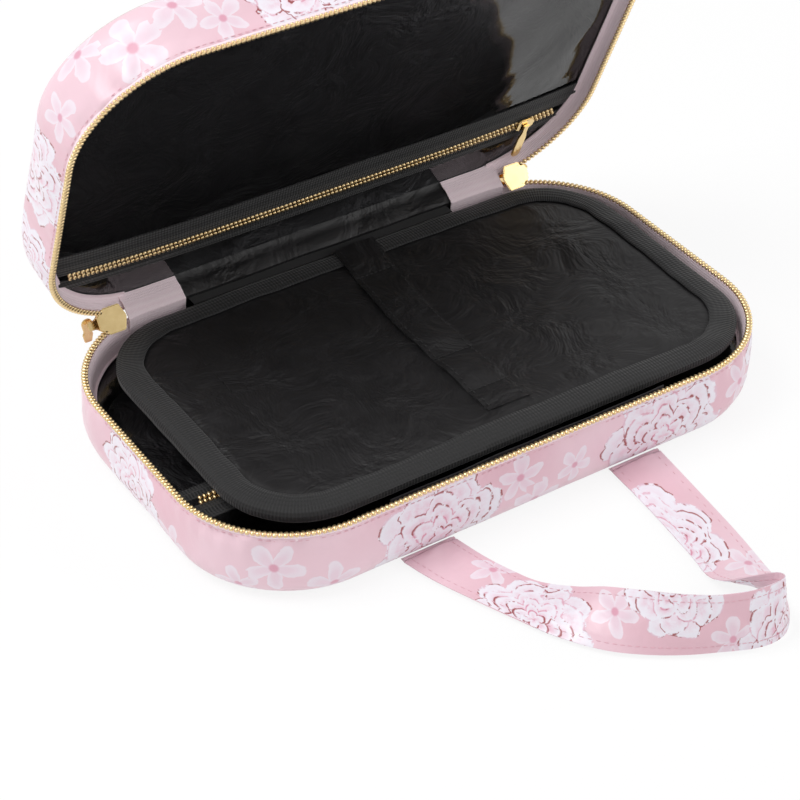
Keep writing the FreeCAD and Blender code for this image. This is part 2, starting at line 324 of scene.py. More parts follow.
def printed_satin(name):
    look = Finish(name)
    cloth = look.cloth()
    petal_white = (0.83, 0.80, 0.87)
    rose = (0.66, 0.23, 0.34)
    line_red = (0.30, 0.045, 0.04)
    brush = look.grain(cloth, 260.0, 4.0, 0.65)
    loose = look.grain(cloth, 95.0, 3.0)
    patchy = look.step(look.grain(cloth, 14.0, 2.0), 0.36, 0.64)
    colour = look.mix(patchy, (0.75, 0.475, 0.545), (0.81, 0.575, 0.645))

    def about(map_name):
        place = look.add("ShaderNodeUVMap", {"uv_map": map_name})
        place = look.add("ShaderNodeVectorMath", {"operation": "SUBTRACT"}, place, (0.5, 0.5, 0.0))
        across, along, _ = look.parts(place)
        reach = look.add("ShaderNodeVectorMath", {"operation": "LENGTH"}, place, out=1) * (1 / MAP_SHARE)
        return reach, along.made("ARCTAN2", along, across) + (loose - 0.5) * 0.9

    def inside(reach, turn, radius, count, low, phase):
        wave = (turn + phase) * (count / 2)
        wave = wave.made("COSINE", wave)
        wave = wave.made("ABSOLUTE", wave)
        return radius * (low + (1 - low) * wave) + (loose - 0.5) * 0.16 + (brush - 0.5) * 0.05 - reach

    reach, turn = about("sprig")
    depth = inside(reach, turn, 1.0, 5, 0.35, 0.2)
    shade = look.step(depth + brush * 0.4, 0.25, 0.75)
    shown = look.step(depth, 0.0, 0.06)
    petal = look.mix(shade, petal_white, (0.80, 0.66, 0.75))
    colour = look.mix(shown * (0.45 + 0.45 * brush), colour, petal)
    colour = look.mix((1 - look.step(reach, 0.10, 0.20)) * shown * 0.7, colour, rose)

    reach, turn = about("bloom")
    # Rings of petals from the outside in: radius, petals, notch, phase and depth of shade.
    petal_rings = ((1.0, 8, 0.80, 0.0, 0.30), (0.86, 7, 0.76, 0.5, 0.45), (0.68, 6, 0.72, 1.2, 0.6),
                   (0.50, 6, 0.68, 0.2, 0.8), (0.34, 5, 0.62, 0.8, 0.9), (0.2, 4, 0.6, 0.1, 1.0))
    for radius, count, low, phase, deep in petal_rings:
        depth = inside(reach, turn, radius, count, low, phase)
        fold = look.step(depth, 0.02, 0.24) * (0.25 + 0.9 * look.step(brush, 0.35, 0.65)) * deep
        petal = look.mix(fold, petal_white, (0.76, 0.42, 0.53))
        edge = 1 - look.step(depth, 0.022, 0.06)
        petal = look.mix(edge * look.step(brush, 0.44, 0.52) * (0.3 + 0.7 * deep), petal, rose)
        stroke = look.step(loose + 0.05 * deep, 0.505, 0.54) * look.step(brush, 0.44, 0.50)
        petal = look.mix((1 - look.step(depth, 0.02, 0.055)) * stroke, petal, line_red)
        colour = look.mix(look.step(depth, 0.0, 0.02), colour, petal)

    weave_x, weave_y, _ = look.parts(cloth)
    weft = (weave_y * 9000.0).sine() * (weave_x * 7000.0).sine()
    bumped = look.bump(look.grain(cloth, 45.0, 3.0, 0.5, 0.5), 0.6, 0.0022)
    bumped = look.bump(weft, 0.10, 0.00004, bumped)
    look.sheen(0.2, 0.4)
    return look.set(Base_Color=colour, Roughness=0.31 + 0.12 * look.grain(cloth, 300.0), Normal=bumped)


# The two padded shells: a printed satin panel and side band over foam, sewn at a rounded edge.
# The seam under the zip draws the fabric into small puckers, strongest round the corners.
ROUND = 420
SHELL_TOP = 30.5
# The wall's section as (inset, height) in millimetres, from the rim down and round to the panel.
shell_profile = [(0.35, 29.9), (0.0, 29.2), (-0.25, 27.6), (-0.55, 25.6), (-0.8, 23.4), (-1.05, 20.5),
                 (-1.3, 17.0), (-1.4, 13.5), (-1.2, 10.0), (-0.7, 7.2), (0.3, 4.6), (1.7, 2.5),
                 (3.6, 1.1), (6.0, 0.45), (9.0, 0.15)]
floor_rings = [14.0, 21.0, 30.0, 40.0, 50.0, 60.0, 69.0, 76.0, 80.0]


def shell_points(half):
    rows = []
    along = []
    down = 0.0
    previous = shell_profile[0]
    for inset, z in shell_profile + [(inset, 0.05) for inset in floor_rings]:
        down += math.hypot(inset - previous[0], z - previous[1])
        previous = (inset, z)
        along.append(down * MM)
        row = []
        for index in range(ROUND):
            turn = index / ROUND
            place, normal = rim_point(turn, min(inset, SHELL_REACH) * MM)
            seam = math.exp(-abs(28.0 - z) / 5.5) if z > 5 else 0.0
            corner = min(1.0, 4 * abs(normal.x * normal.y))
            spine = max(0.0, normal.y) ** 8
            pucker = ripple(turn * 120, z * 0.04, 3.0) * (0.7 + 1.9 * corner) * seam
            pucker *= min(1.0, (SHELL_TOP - z) / 1.5)
            swell = ripple(turn * 24, z * 0.06, 9.0) * 1.5 * min(1.0, z / 8)
            swell *= min(1.0, (SHELL_TOP - z) / 6)
            swell += 0.25 * ripple(turn * 75, z * 0.2, 5.0) * min(1.0, z / 6)
            push = (pucker + swell) * (1 - spine)
            if inset < 0:
                push += inset * spine
            place = place + normal * push * MM
            if inset > SHELL_REACH:
                share = (HALF_Y - inset * MM) / (HALF_Y - SHELL_REACH * MM)
                place = Vector((place.x * (0.35 + 0.65 * share) if share < 1 else place.x, place.y * share))
            height = z
            if inset > 8:
                if half == "lid":
                    crown = min(1.0, (inset - 8) / 30)
                    height = 0.05 - 2.4 * math.sin(crown * math.pi / 2)
                    height += 0.5 * ripple(place.x * 22, place.y * 22, 4.0)
                height += 0.35 * abs(ripple(place.x * 60, place.y * 60, 7.0))
            row.append((place.x, place.y, height * MM))
        rows.append(row)
    return np.array(rows), along


satin = printed_satin("printed_satin")
# Where the flowers lie: (u, v, radius, turn) on each cloth map, in metres.
band_blossoms = {
    "base": [(0.424, 0.178, 0.030, 0.3), (0.318, 0.180, 0.031, 1.4), (0.572, 0.182, 0.024, 2.2),
             (0.245, 0.180, 0.027, 0.9), (0.150, 0.181, 0.028, 2.9), (0.030, 0.180, 0.027, 0.1),
             (0.655, 0.181, 0.027, 1.9)],
    "lid": [(0.412, 0.181, 0.027, 0.8), (0.558, 0.179, 0.028, 2.0), (0.610, 0.184, 0.022, 0.4),
            (0.300, 0.180, 0.029, 1.1), (0.200, 0.181, 0.028, 2.6), (0.105, 0.180, 0.027, 0.2),
            (0.010, 0.180, 0.026, 1.6)]}
band_sprigs = {
    "base": [(0.492, 0.186, 0.012, 0.2), (0.506, 0.175, 0.010, 1.0), (0.470, 0.176, 0.011, 2.0),
             (0.387, 0.189, 0.011, 0.7), (0.379, 0.174, 0.012, 1.8), (0.362, 0.185, 0.009, 0.1),
             (0.540, 0.176, 0.011, 0.5), (0.276, 0.187, 0.010, 1.2), (0.205, 0.178, 0.012, 0.4),
             (0.100, 0.184, 0.012, 2.4)],
    "lid": [(0.482, 0.188, 0.014, 0.1), (0.500, 0.176, 0.012, 0.9), (0.462, 0.179, 0.012, 1.7),
            (0.447, 0.190, 0.010, 2.3), (0.520, 0.188, 0.010, 0.6), (0.366, 0.184, 0.012, 1.4),
            (0.345, 0.176, 0.010, 0.2), (0.250, 0.182, 0.012, 1.9), (0.150, 0.182, 0.012, 0.8)]}
PANEL_MAP_X = 1.2
PANEL_MAP_Y = 0.6
blossom_places = ((-0.085, -0.035), (0.0, 0.03), (0.082, -0.04), (-0.09, 0.05), (0.085, 0.05), (0.0, -0.055))
sprig_places = ((-0.045, 0.0), (-0.04, -0.03), (0.045, 0.01), (0.04, -0.02), (-0.05, 0.065), (0.05, 0.068),
                (-0.118, 0.005), (0.12, 0.0))
panel_blossoms = [(PANEL_MAP_X + x, PANEL_MAP_Y + y, 0.030, 9 * x + y) for x, y in blossom_places]
panel_sprigs = [(PANEL_MAP_X + x, PANEL_MAP_Y + y, 0.013, 7 * x) for x, y in sprig_places]
for half, panel in (("base", "base_bottom_panel"), ("lid", "lid_top_panel")):
    points, along = shell_points(half)
    wall_rows = len(shell_profile) - 3

    def wall_map(row, column):
        return (column / ROUND * PERIMETER, 0.2 - along[row])

    def panel_map(row, column):
        place = points[row + wall_rows - 1][column % ROUND]
        return (place[0] + PANEL_MAP_X, place[1] + PANEL_MAP_Y)

    band = fabric(half + "_band_fabric", points[:wall_rows], wall_map, CLOTH, satin, half, closed=True)
    lay_flowers(band, band_blossoms[half], band_sprigs[half])
    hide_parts(half + "_side_band", half + "_wall_foam")
    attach(band, half)
    panel_rows = points[wall_rows - 1:]
    cover = fabric(half + "_panel_fabric", panel_rows, panel_map, CLOTH, satin, half, closed=True)
    lay_flowers(cover, panel_blossoms, panel_sprigs)
    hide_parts(panel)
    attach(cover, half)

# Black satin lining, cut as a tray and left a little slack, so that it folds inside each shell.
def black_satin(name):
    look = Finish(name)
    place = look.spot()
    across, along, up = look.parts(place)
    twill = (across * 5200.0 + along * 5200.0 + up * 3000.0).sine()
    folds = look.grain(place, 38.0, 4.0, 0.6, 0.8)
    bumped = look.bump(folds, 0.8, 0.0042)
    bumped = look.bump(twill, 0.15, 0.00005, bumped)
    patchy = look.grain(place, 90.0, 3.0)
    colour = look.mix(patchy, (0.0045, 0.004, 0.0045), (0.012, 0.011, 0.012))
    look.sheen(0.08, 0.35)
    look.shader.inputs["Specular IOR Level"].default_value = 0.45
    return look.set(Base_Color=colour, Roughness=0.43 + 0.16 * patchy, Normal=bumped)


lining_satin = black_satin("black_satin_lining")
PADDING_TOP = {"base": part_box("base_wall_foam")[1].z, "lid": 24 * MM}
lining_rings = [5.0, 7.5, 12.0, 18.0, 26.0, 35.0, 45.0, 54.0, 62.0, 70.0, 76.0, 80.0]


def panel_place(turn, inset):
    """A point inside the plan outline: an inset ring, then rings that shrink to the middle line."""
    place, normal = rim_point(turn, min(inset, LINING_REACH) * MM)
    if inset > LINING_REACH:
        share = max(0.0, (HALF_Y - inset * MM) / (HALF_Y - LINING_REACH * MM))
        place = Vector((place.x, place.y * share))
    return place, normal


for half in ("base", "lid"):
    top = PADDING_TOP[half] / MM
    levels = [(3.3, top + 0.3), (3.5, top - 2.0), (3.7, top - 5.0), (3.8, top - 8.0), (3.9, top - 11.0),
              (4.2, 5.0)]
    rows = []
    for inset, z in levels + [(inset, 3.3) for inset in lining_rings]:
        row = []
        for index in range(LINING_ROUND):
            turn = index / LINING_ROUND
            place, normal = panel_place(turn, inset)
            fold = 1.3 * (0.5 + ripple(turn * 38, z * 0.10, 21.0)) * min(1.0, max(0.0, top - z) / 4)
            place = place - normal * fold * MM if inset < 10 else place
            lift = 0.0
            if inset > 8:
                lift = 1.1 * abs(ripple(place.x * 34, place.y * 34, 2.0))
                lift += 0.5 * abs(ripple(place.x * 90, place.y * 90))
            row.append((place.x, place.y, (z + lift) * MM))
        rows.append(row)
    lining = fabric(half + "_lining_fabric", rows, lambda row, column: (column * 2.4 * MM, row * 4 * MM),
                    0.4 * MM, lining_satin, half, closed=True)
    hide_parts(half + "_lining")
    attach(lining, half)

# Rim tape: pale pink woven zip tape. It stands above the padding on each half, its outer side
# seen under the teeth and its inner side facing the pocket window, with a row of stitches.
def woven_tape(name, colour, groove_shade_and_tone, rib):
    look = Finish(name)
    along, down, _ = look.parts(look.cloth())
    ribs = (along * (2 * math.pi / rib)).sine()
    cross = (down * (2 * math.pi / (rib * 1.4))).sine()
    height = ribs * 0.6 + cross * 0.4
    # Colour: darker where the rib pattern is low, which is painted shade in the grooves between the ribs,
    # plus random yarn tone from a fine noise.
    shade = look.grain(look.cloth(), 700.0, 2.0)
    toned = look.mix(look.step(height, -0.9, 0.5) * 0.75 + shade * 0.25, groove_shade_and_tone, colour)
    look.shader.inputs["Sheen Weight"].default_value = 0.15
    bumped = look.bump(height, 0.5, rib * 0.25)
    return look.set(Base_Color=toned, Roughness=0.72, Normal=bumped)


pink_tape = woven_tape("pink_woven_tape", (0.95, 0.80, 0.84), (0.88, 0.69, 0.75), 0.85 * MM)
pink_thread = woven_tape("pink_thread", (0.80, 0.50, 0.56), (0.58, 0.28, 0.36), 0.4 * MM)


def run_of_turns(count, start=ZIP_START):
    return [start + (1 - 2 * start) * index / (count - 1) for index in range(count)]


def stitches(name, frames, length, width, material, body):
    """A row of small raised stitches; each frame is (centre, along, across, up)."""
    return beads(name, frames, (length / 2, width / 2, width * 0.35), material, body, 6, 3)


def beads(name, frames, radii, material, body, around=8, rings=5):
    unit = []
    for ring in range(1, rings):
        polar = math.pi * ring / rings
        for step in range(around):
            angle = 2 * math.pi * step / around
            radius = math.sin(polar)
            unit.append((math.cos(polar), radius * math.cos(angle), radius * math.sin(angle)))
    unit += [(1, 0, 0), (-1, 0, 0)]
    north = len(unit) - 2
    shape = []
    for ring in range(rings - 2):
        for step in range(around):
            beyond = (step + 1) % around
            first = ring * around
            shape.append((first + step, first + around + step, first + around + beyond, first + beyond))
    shape += [(north, step, (step + 1) % around) for step in range(around)]
    last = (rings - 2) * around
    shape += [(north + 1, last + (step + 1) % around, last + step) for step in range(around)]
    unit = np.array(unit) * np.array(radii)
    vertices = []
    faces = []
    for centre, along, across, up in frames:
        base = len(vertices)
        basis = np.array([along, across, up])
        vertices += (np.array(centre) + unit @ basis).tolist()
        faces += [tuple(base + corner for corner in face) for face in shape]
    mesh = bpy.data.meshes.new(name)
    mesh.from_pydata(vertices, [], faces)
    mesh.validate()
    piece = new_piece(name, mesh)
    bpy.ops.object.select_all(action="DESELECT")
    bpy.context.view_layer.objects.active = piece
    piece.select_set(True)
    bpy.ops.object.mode_set(mode="EDIT")
    bpy.ops.mesh.select_all(action="SELECT")
    bpy.ops.mesh.normals_make_consistent(inside=False)
    bpy.ops.object.mode_set(mode="OBJECT")
    finish_piece(piece, material, angle=80)
    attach(piece, body)
    return piece


def direction_in_place(direction, half):
    origin = in_place([0.0, 0.0, 0.0], half)
    return Vector(in_place(list(direction), half) - origin)


for half in ("base", "lid"):
    turns = run_of_turns(TAPE_STEPS)
    outer_levels = [(1.3, 24.2), (1.25, 26.0), (1.0, 28.6), (0.25, 29.7), (0.1, 30.4)]
    pad = PADDING_TOP[half] / MM
    inner_levels = [(1.5, 30.1), (1.75, 29.0), (2.0, 27.0), (2.5, (27.0 + pad) / 2), (3.2, pad + 0.9),
                    (4.6, pad + 0.75)]
    for side, levels, replaced in (("outer", outer_levels, True), ("inner", inner_levels, False)):
        rows = []
        for inset, z in levels:
            row = []
            for turn in turns:
                wave = 0.28 * ripple(turn * 60, z * 0.2, 31.0)
                place, normal = rim_point(turn, (inset + wave) * MM)
                row.append((place.x, place.y, z * MM))
            rows.append(row)
        heights = [z for _, z in levels]
        tape_map = lambda row, column: (column / (TAPE_STEPS - 1) * PERIMETER, heights[row] * MM)
        strip = fabric(half + "_rim_tape_" + side, rows, tape_map, 0.45 * MM, pink_tape, half)
        if replaced:
            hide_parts(half + "_zip_tape")
        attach(strip, half)
    frames = []
    for index in range(int(PERIMETER * (1 - 2 * ZIP_START) / STITCH_PITCH)):
        turn = ZIP_START + index * STITCH_PITCH / PERIMETER
        place, normal = rim_point(turn, -0.25 * MM)
        centre = in_place([place.x, place.y, 28.3 * MM], half)
        along = direction_in_place((normal.y, -normal.x, 0), half)
        out = direction_in_place((normal.x, normal.y, 0), half)
        up = direction_in_place((0, 0, 1), half)
        frames.append((centre, along, up, out))
    stitches(half + "_rim_stitches", frames, 2.1 * MM, 0.45 * MM, pink_thread, half)

# Rim zip: a metallised coil with a pitch of about 2 mm, sewn along the tape's edge on each half. Each
# turn of the coil is one long bead that leans a little, over a cord in the tape's own pink.
def plated(name, colour, deep, rough):
    look = Finish(name)
    place = look.spot()
    wear = look.grain(place, 260.0, 3.0, 0.6)
    fine = look.grain(place, 1500.0, 2.0)
    look.shader.inputs["Metallic"].default_value = 1.0
    toned = look.mix(wear, deep, colour)
    bumped = look.bump(fine, 0.08, 0.00005)
    return look.set(Base_Color=toned, Roughness=rough + 0.18 * wear, Normal=bumped)


coil_gold = plated("gold_coil", (0.96, 0.78, 0.47), (0.78, 0.55, 0.26), 0.24)
plate_gold = plated("gold_plate", (0.93, 0.72, 0.38), (0.80, 0.58, 0.26), 0.12)
PITCH = 2.04 * MM
for half in ("base", "lid"):
    start = ZIP_START + 9 * MM / PERIMETER
    frames = []
    for index in range(int(PERIMETER * (1 - 2 * start) / PITCH)):
        turn = start + index * PITCH / PERIMETER
        place, normal = rim_point(turn, 0.55 * MM)
        centre = in_place([place.x, place.y, 30.95 * MM], half)
        tangent = Vector((normal.y, -normal.x, 0))
        lean = (tangent * 0.22 + Vector((normal.x, normal.y, 0))).normalized()
        along = lean.cross(Vector((0, 0, 1)))
        frames.append((centre, direction_in_place(lean, half), direction_in_place(along, half),
                       direction_in_place((0, 0, 1), half)))
    coil = beads(half + "_rim_coil", frames, (1.5 * MM, 1.04 * MM, 0.95 * MM), coil_gold, half, 10, 6)
    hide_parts(half + "_zip_teeth")
    turns = run_of_turns(TAPE_STEPS, start)
    rows = []
    for side_inset, z in ((0.1, 29.8), (-0.15, 30.5), (0.2, 31.1), (1.0, 31.1), (1.4, 30.5), (1.2, 29.8)):
        row = []
        for turn in turns:
            place, normal = rim_point(turn, side_inset * MM)
            row.append((place.x, place.y, z * MM))
        rows.append(row)
    cord_map = lambda row, column: (column * 1.2 * MM, row * 0.5 * MM)
    cord_under = fabric(half + "_rim_coil_cord", rows, cord_map, 0.1 * MM, pink_tape, half)
    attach(cord_under, half)

# Spine: printed satin outside and black satin inside, one strip each, which fold at the hinge
# line between the two shells. Pink zip tails are sewn across its ends.


def spine_strip(name, levels, half_width, material, sag, replaced):
    """levels: (depth behind the hinge line, distance along base up to the fold) in millimetres."""
    rows = []
    lengths = []
    for back, z in levels:
        row = []
        for index in range(81):
            x = -half_width + 2 * half_width * index / 80
            curve = max(0.0, abs(x) - (HALF_X - CORNER))
            inset = CORNER - math.sqrt(max(0.0, CORNER ** 2 - curve ** 2))
            wave = sag * MM * ripple(x * 60, z * 0.12, 12.0)
            y = HINGE.y - inset - back * MM - wave
            if z <= RIM / MM:
                row.append(Vector((x, y, z * MM)))
            else:
                row.append(Vector(in_place([x, y, 2 * RIM - z * MM], "lid")))
        rows.append(row)
        lengths.append(z * MM)
    spine_map = lambda row, column: (column * half_width / 40 + 0.4, lengths[row] + 0.3)
    piece = fabric(name, rows, spine_map, 0.35 * MM, material)
    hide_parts(*replaced)
    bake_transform(piece)
    return piece


spine_outer_levels = [(0.15, 29.3), (0.2, 29.8), (0.3, 30.4), (0.7, 31.4), (0.95, 32.0),
                      (0.7, 32.6), (0.3, 33.6), (0.2, 34.2), (0.15, 34.7)]
spine_strip("spine_cover_fabric", spine_outer_levels, ZIP_END, satin, 0.15,
            ("base_spine_cover", "lid_spine_cover"))
spine_inner_levels = [(3.6, 18.6), (2.0, 20.5), (1.7, 24.0), (1.8, 28.0), (2.3, 30.6), (2.6, 32.0),
                      (2.3, 33.4), (1.8, 35.5), (1.9, 38.5), (3.8, 40.6)]
inner_spine = spine_strip("spine_lining_fabric", spine_inner_levels, ZIP_END - 1 * MM, lining_satin, 0.5,
                          ("base_spine_lining", "lid_spine_lining"))
tail_start = 66
tail_length = 26.8
tail_levels = [(2.6, 19.8), (2.5, 22.0), (2.5, 26.0), (2.8, 29.5), (3.3, 32.0), (2.8, 34.5), (2.5, 37.0),
               (3.0, 39.4)]
for side, sign in (("left", -1), ("right", 1)):
    rows = []
    for back, z in tail_levels:
        row = []
        for index in range(25):
            x = sign * (tail_start + tail_length * index / 24) * MM
            curve = max(0.0, abs(x) - (HALF_X - CORNER))
            inset = CORNER - math.sqrt(CORNER ** 2 - curve ** 2)
            y = HINGE.y - inset - (back + 0.25 * ripple(x * 90, z * 0.3)) * MM
            tray_z = z * MM if z <= RIM / MM else 2 * RIM - z * MM
            row.append(Vector(in_place([x, y, tray_z], "base" if z <= RIM / MM else "lid")))
        rows.append(row if sign < 0 else row[::-1])
    tail_map = lambda row, column: (column * 1.4 * MM, tail_levels[row][1] * MM)
    tail = fabric("zip_tail_" + side + "_tape", rows, tail_map, 0.5 * MM, pink_tape)
    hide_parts("base_zip_tail_" + side, "lid_zip_tail_" + side)
    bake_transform(tail)

# Pocket windows: clear flexible film over each shell, sewn under the rim tape and split by a
# zip. The film is slack, so it carries long soft creases that catch the light.
def clear_film(name):
    look = Finish(name)
    place = look.spot()
    creases = look.grain(place, 16.0, 3.0, 0.5, 0.6)
    bumped = look.bump(creases, 0.5, 0.004)
    gloss = look.nodes.new("ShaderNodeBsdfGlossy")
    gloss.inputs["Roughness"].default_value = 0.06
    gloss.inputs["Color"].default_value = (1, 1, 1, 1)
    look.links.new(bumped.socket, gloss.inputs["Normal"])
    through = look.nodes.new("ShaderNodeBsdfTransparent")
    through.inputs["Color"].default_value = (0.93, 0.93, 0.94, 1)
    facing = look.add("ShaderNodeFresnel", {}, {"IOR": 1.5, "Normal": bumped})
    outside = 1 - look.add("ShaderNodeNewGeometry", {}, out=6)
    mixed = look.nodes.new("ShaderNodeMixShader")
    look.give(mixed.inputs[0], facing * outside * 0.9)
    look.links.new(through.outputs[0], mixed.inputs[1])
    look.links.new(gloss.outputs[0], mixed.inputs[2])
    look.links.new(mixed.outputs[0], look.nodes["Material Output"].inputs["Surface"])
    look.nodes.remove(look.shader)
    return look.material


window_film = clear_film("clear_pocket_film")
ZIP_LINE = {"base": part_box("base_pocket_teeth_front")[1].y + 0.5 * MM, "lid": 50 * MM}
WINDOW_INSET = {"base": 2.4, "lid": 2.6}


def zip_line(half, x):
    """How far back the pocket zip lies at x: straight in the base, a shallow sag in the lid."""
    if half == "base":
        return ZIP_LINE[half]
    return ZIP_LINE[half] + 2.5 * MM - 3.0 * MM * (x / (110 * MM)) ** 4


def plan_half_width(y, inset):
    """Half the width of the plan outline at depth y, moved in by inset."""
    over = max(0.0, abs(y) - (HALF_Y - CORNER))
    radius = CORNER - inset
    return HALF_X - CORNER + math.sqrt(max(0.0, radius ** 2 - over ** 2))


def pocket_sheet(y0, y1, rows_count, columns, height, inset):
    """A grid over the plan between two depths; y0 and y1 are functions of x."""
    rows = []
    for row_index in range(rows_count):
        share = row_index / (rows_count - 1)
        row = []
        for index in range(columns):
            part = -1 + 2 * index / (columns - 1)
            x = part * HALF_X
            y = y0(x) + (y1(x) - y0(x)) * share
            x = part * plan_half_width(y, inset)
            y = y0(x) + (y1(x) - y0(x)) * share
            row.append((x, y, height(x, y)))
        rows.append(row)
    return rows


for half in ("base", "lid"):
    pad = PADDING_TOP[half]

    def film_height(x, y):
        to_edge = min(1.0, (plan_half_width(y, 0) - abs(x)) / 0.02, (HALF_Y - abs(y)) / 0.02)
        to_zip = min(1.0, abs(y - zip_line(half, x)) / 0.03)
        slack = 1.2 * ripple(x * 9, y * 14, 6.0) + 0.6 * ripple(x * 30 + y * 22, y * 12, 8.0)
        lift = (0.6 + slack) * to_edge * to_zip if half == "lid" else slack * 0.6 * to_edge * to_zip - 0.2
        return pad + (0.25 + lift) * MM

    front_y = lambda x: -HALF_Y + (WINDOW_INSET[half] + 0.2) * MM
    back_y = lambda x: HALF_Y - (WINDOW_INSET[half] + 1.2) * MM
    before = lambda x: zip_line(half, x) - 2 * MM
    behind = lambda x: zip_line(half, x) + 2 * MM
    for side, y0, y1, count in (("front", front_y, before, 60), ("back", behind, back_y, 40)):
        inset = WINDOW_INSET[half] * MM
        points = pocket_sheet(y0, y1, count, 120, film_height, inset)
        film = fabric(half + "_window_film_" + side, points, plain_map, 0.3 * MM, window_film, half)
        2 * (HALF_X - inset)
        y1(0) - y0(0)
        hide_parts(half + "_window_" + side)
        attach(film, half)

# Pocket zips: black grosgrain tape either side of a gold coil. The base's lies under the page.
grosgrain = woven_tape("black_grosgrain", (0.009, 0.0085, 0.0095), (0.0015, 0.0015, 0.0015), 1.35 * MM)
POCKET_COIL_REACH = 118 * MM
POCKET_PITCH = 2.0 * MM
for half, front_width, back_width in (("base", 11.0, 8.5), ("lid", 14.5, 9.0)):
    pad = PADDING_TOP[half]
    for side, sign, width in (("front", -1, front_width), ("back", 1, back_width)):
        near = lambda x: zip_line(half, x) + sign * 1.9 * MM
        far = lambda x: zip_line(half, x) + sign * width * MM
        first, second = (far, near) if sign < 0 else (near, far)

        def raised(x, y):
            from_ridge = abs(y - zip_line(half, x)) / MM - width * 0.55
            ridge = 0.5 * math.exp(-(from_ridge / 0.9) ** 2)
            return pad + (1.0 + 0.35 * ripple(x * 30, y * 60, 14.0) + ridge) * MM

        inset = (WINDOW_INSET[half] + 0.4) * MM
        points = pocket_sheet(first, second, 12, POCKET_STEPS, raised, inset)
        tape_map = lambda row, column: (column * 2 * HALF_X / (POCKET_STEPS - 1), row * width / 11 * MM)
        tape = fabric(half + "_pocket_zip_tape_" + side, points, tape_map, 0.5 * MM, grosgrain, half)
        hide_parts(half + "_pocket_tape_" + side)
        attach(tape, half)
    for side, sign in (("front", -1), ("back", 1)):
        frames = []
        for index in range(int(2 * POCKET_COIL_REACH / POCKET_PITCH)):
            x = -POCKET_COIL_REACH + (index + (0.5 if sign > 0 else 0.0)) * POCKET_PITCH
            slope = (zip_line(half, x + MM) - zip_line(half, x - MM)) / (2 * MM)
            run = Vector((1, slope, 0)).normalized()
            out = Vector((-run.y, run.x, 0)) * sign
            centre = Vector((x, zip_line(half, x), pad + 1.15 * MM)) + out * 1.3 * MM
            lean = (out + run * 0.3 * sign).normalized()
            frames.append((in_place(list(centre), half), direction_in_place(lean, half),
                           direction_in_place(lean.cross(Vector((0, 0, 1))), half),
                           direction_in_place((0, 0, 1), half)))
        radii = (1.25 * MM, 0.95 * MM, 0.95 * MM)
        teeth = beads(half + "_pocket_coil_" + side, frames, radii, coil_gold, half, 8, 5)
        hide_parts(half + "_pocket_teeth_" + side)

# Front slip panel: a flat black satin pocket that stands inside the front wall.
slip_low, slip_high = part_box("front_slip_panel")
slip_height = slip_high.z + 1.2 * MM - slip_low.z
rows = []
for level in range(12):
    z = slip_low.z + slip_height * level / 11
    row = []
    for index in range(70):
        x = slip_low.x + (slip_high.x - slip_low.x) * index / 69
        wave = 0.7 * ripple(x * 45, z * 60, 17.0) * MM
        row.append((x, slip_high.y + wave, z - 0.5 * MM * abs(ripple(x * 30, 1.0))))
    rows.append(row)
slip_map = lambda row, column: (column * 2 * MM, row * MM)
slip = fabric("front_slip_fabric", rows, slip_map, 0.5 * MM, lining_satin)
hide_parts("front_slip_panel")
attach(slip, "base")

# Page: a padded black satin leaf that covers the base pocket. It is soft, so its faces are
# slightly crowned and creased, and a ribbed grosgrain binding is folded over its edge.
page_low, page_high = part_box("page_binding")
PAGE_MID = (page_low + page_high) / 2
PAGE_HALF = (page_high - page_low) / 2
PAGE_CORNER = 35 * MM


def page_edge(turn, inset):
    return outline_point((PAGE_MID.x, page_high.y), PAGE_HALF.x, PAGE_HALF.y, PAGE_CORNER, turn, inset)


def page_top(x, y):
    """Height of the page's upper face: level with the rim, softly dented between its creases."""
    broad = 1.3 * ripple(x * 15, y * 18, 41.0)
    crease = 1.0 * abs(ripple(x * 26 + y * 34, y * 9, 44.0)) + 0.3 * ripple(x * 60, y * 60, 45.0)
    return page_high.z + (-0.5 + broad - crease) * MM


page_around = 360
PAGE_RINGS = 34
for face, sign in (("top", 1), ("bottom", -1)):
    rows = []
    for ring in range(PAGE_RINGS):
        inset = 6.5 + ring * 1.98
        row = []
        for index in range(page_around):
            place, normal = page_edge(index / page_around, min(inset, PAGE_REACH) * MM)
            if inset > PAGE_REACH:
                share = max(0.0, (PAGE_HALF.y - inset * MM) / (PAGE_HALF.y - PAGE_REACH * MM))
                share = share if ring < PAGE_RINGS - 1 else 0.0
                place = Vector((place.x, PAGE_MID.y + (place.y - PAGE_MID.y) * share))
            sink = 0.9 * math.exp(-((inset - 10.5) / 1.6) ** 2) * MM
            if sign > 0:
                z = page_top(place.x, place.y) - sink
            else:
                z = page_low.z + (0.7 + 0.4 * ripple(place.x * 30, place.y * 30, 3.0)) * MM + sink
            row.append((place.x, place.y, z))
        rows.append(row if sign > 0 else row[::-1])
    cover = fabric("page_" + face + "_fabric", rows, plain_map, 0.4 * MM, lining_satin, closed=True)
    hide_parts("page_" + face + "_cover", *(["page_foam"] if face == "top" else []))
    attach(cover, "page")

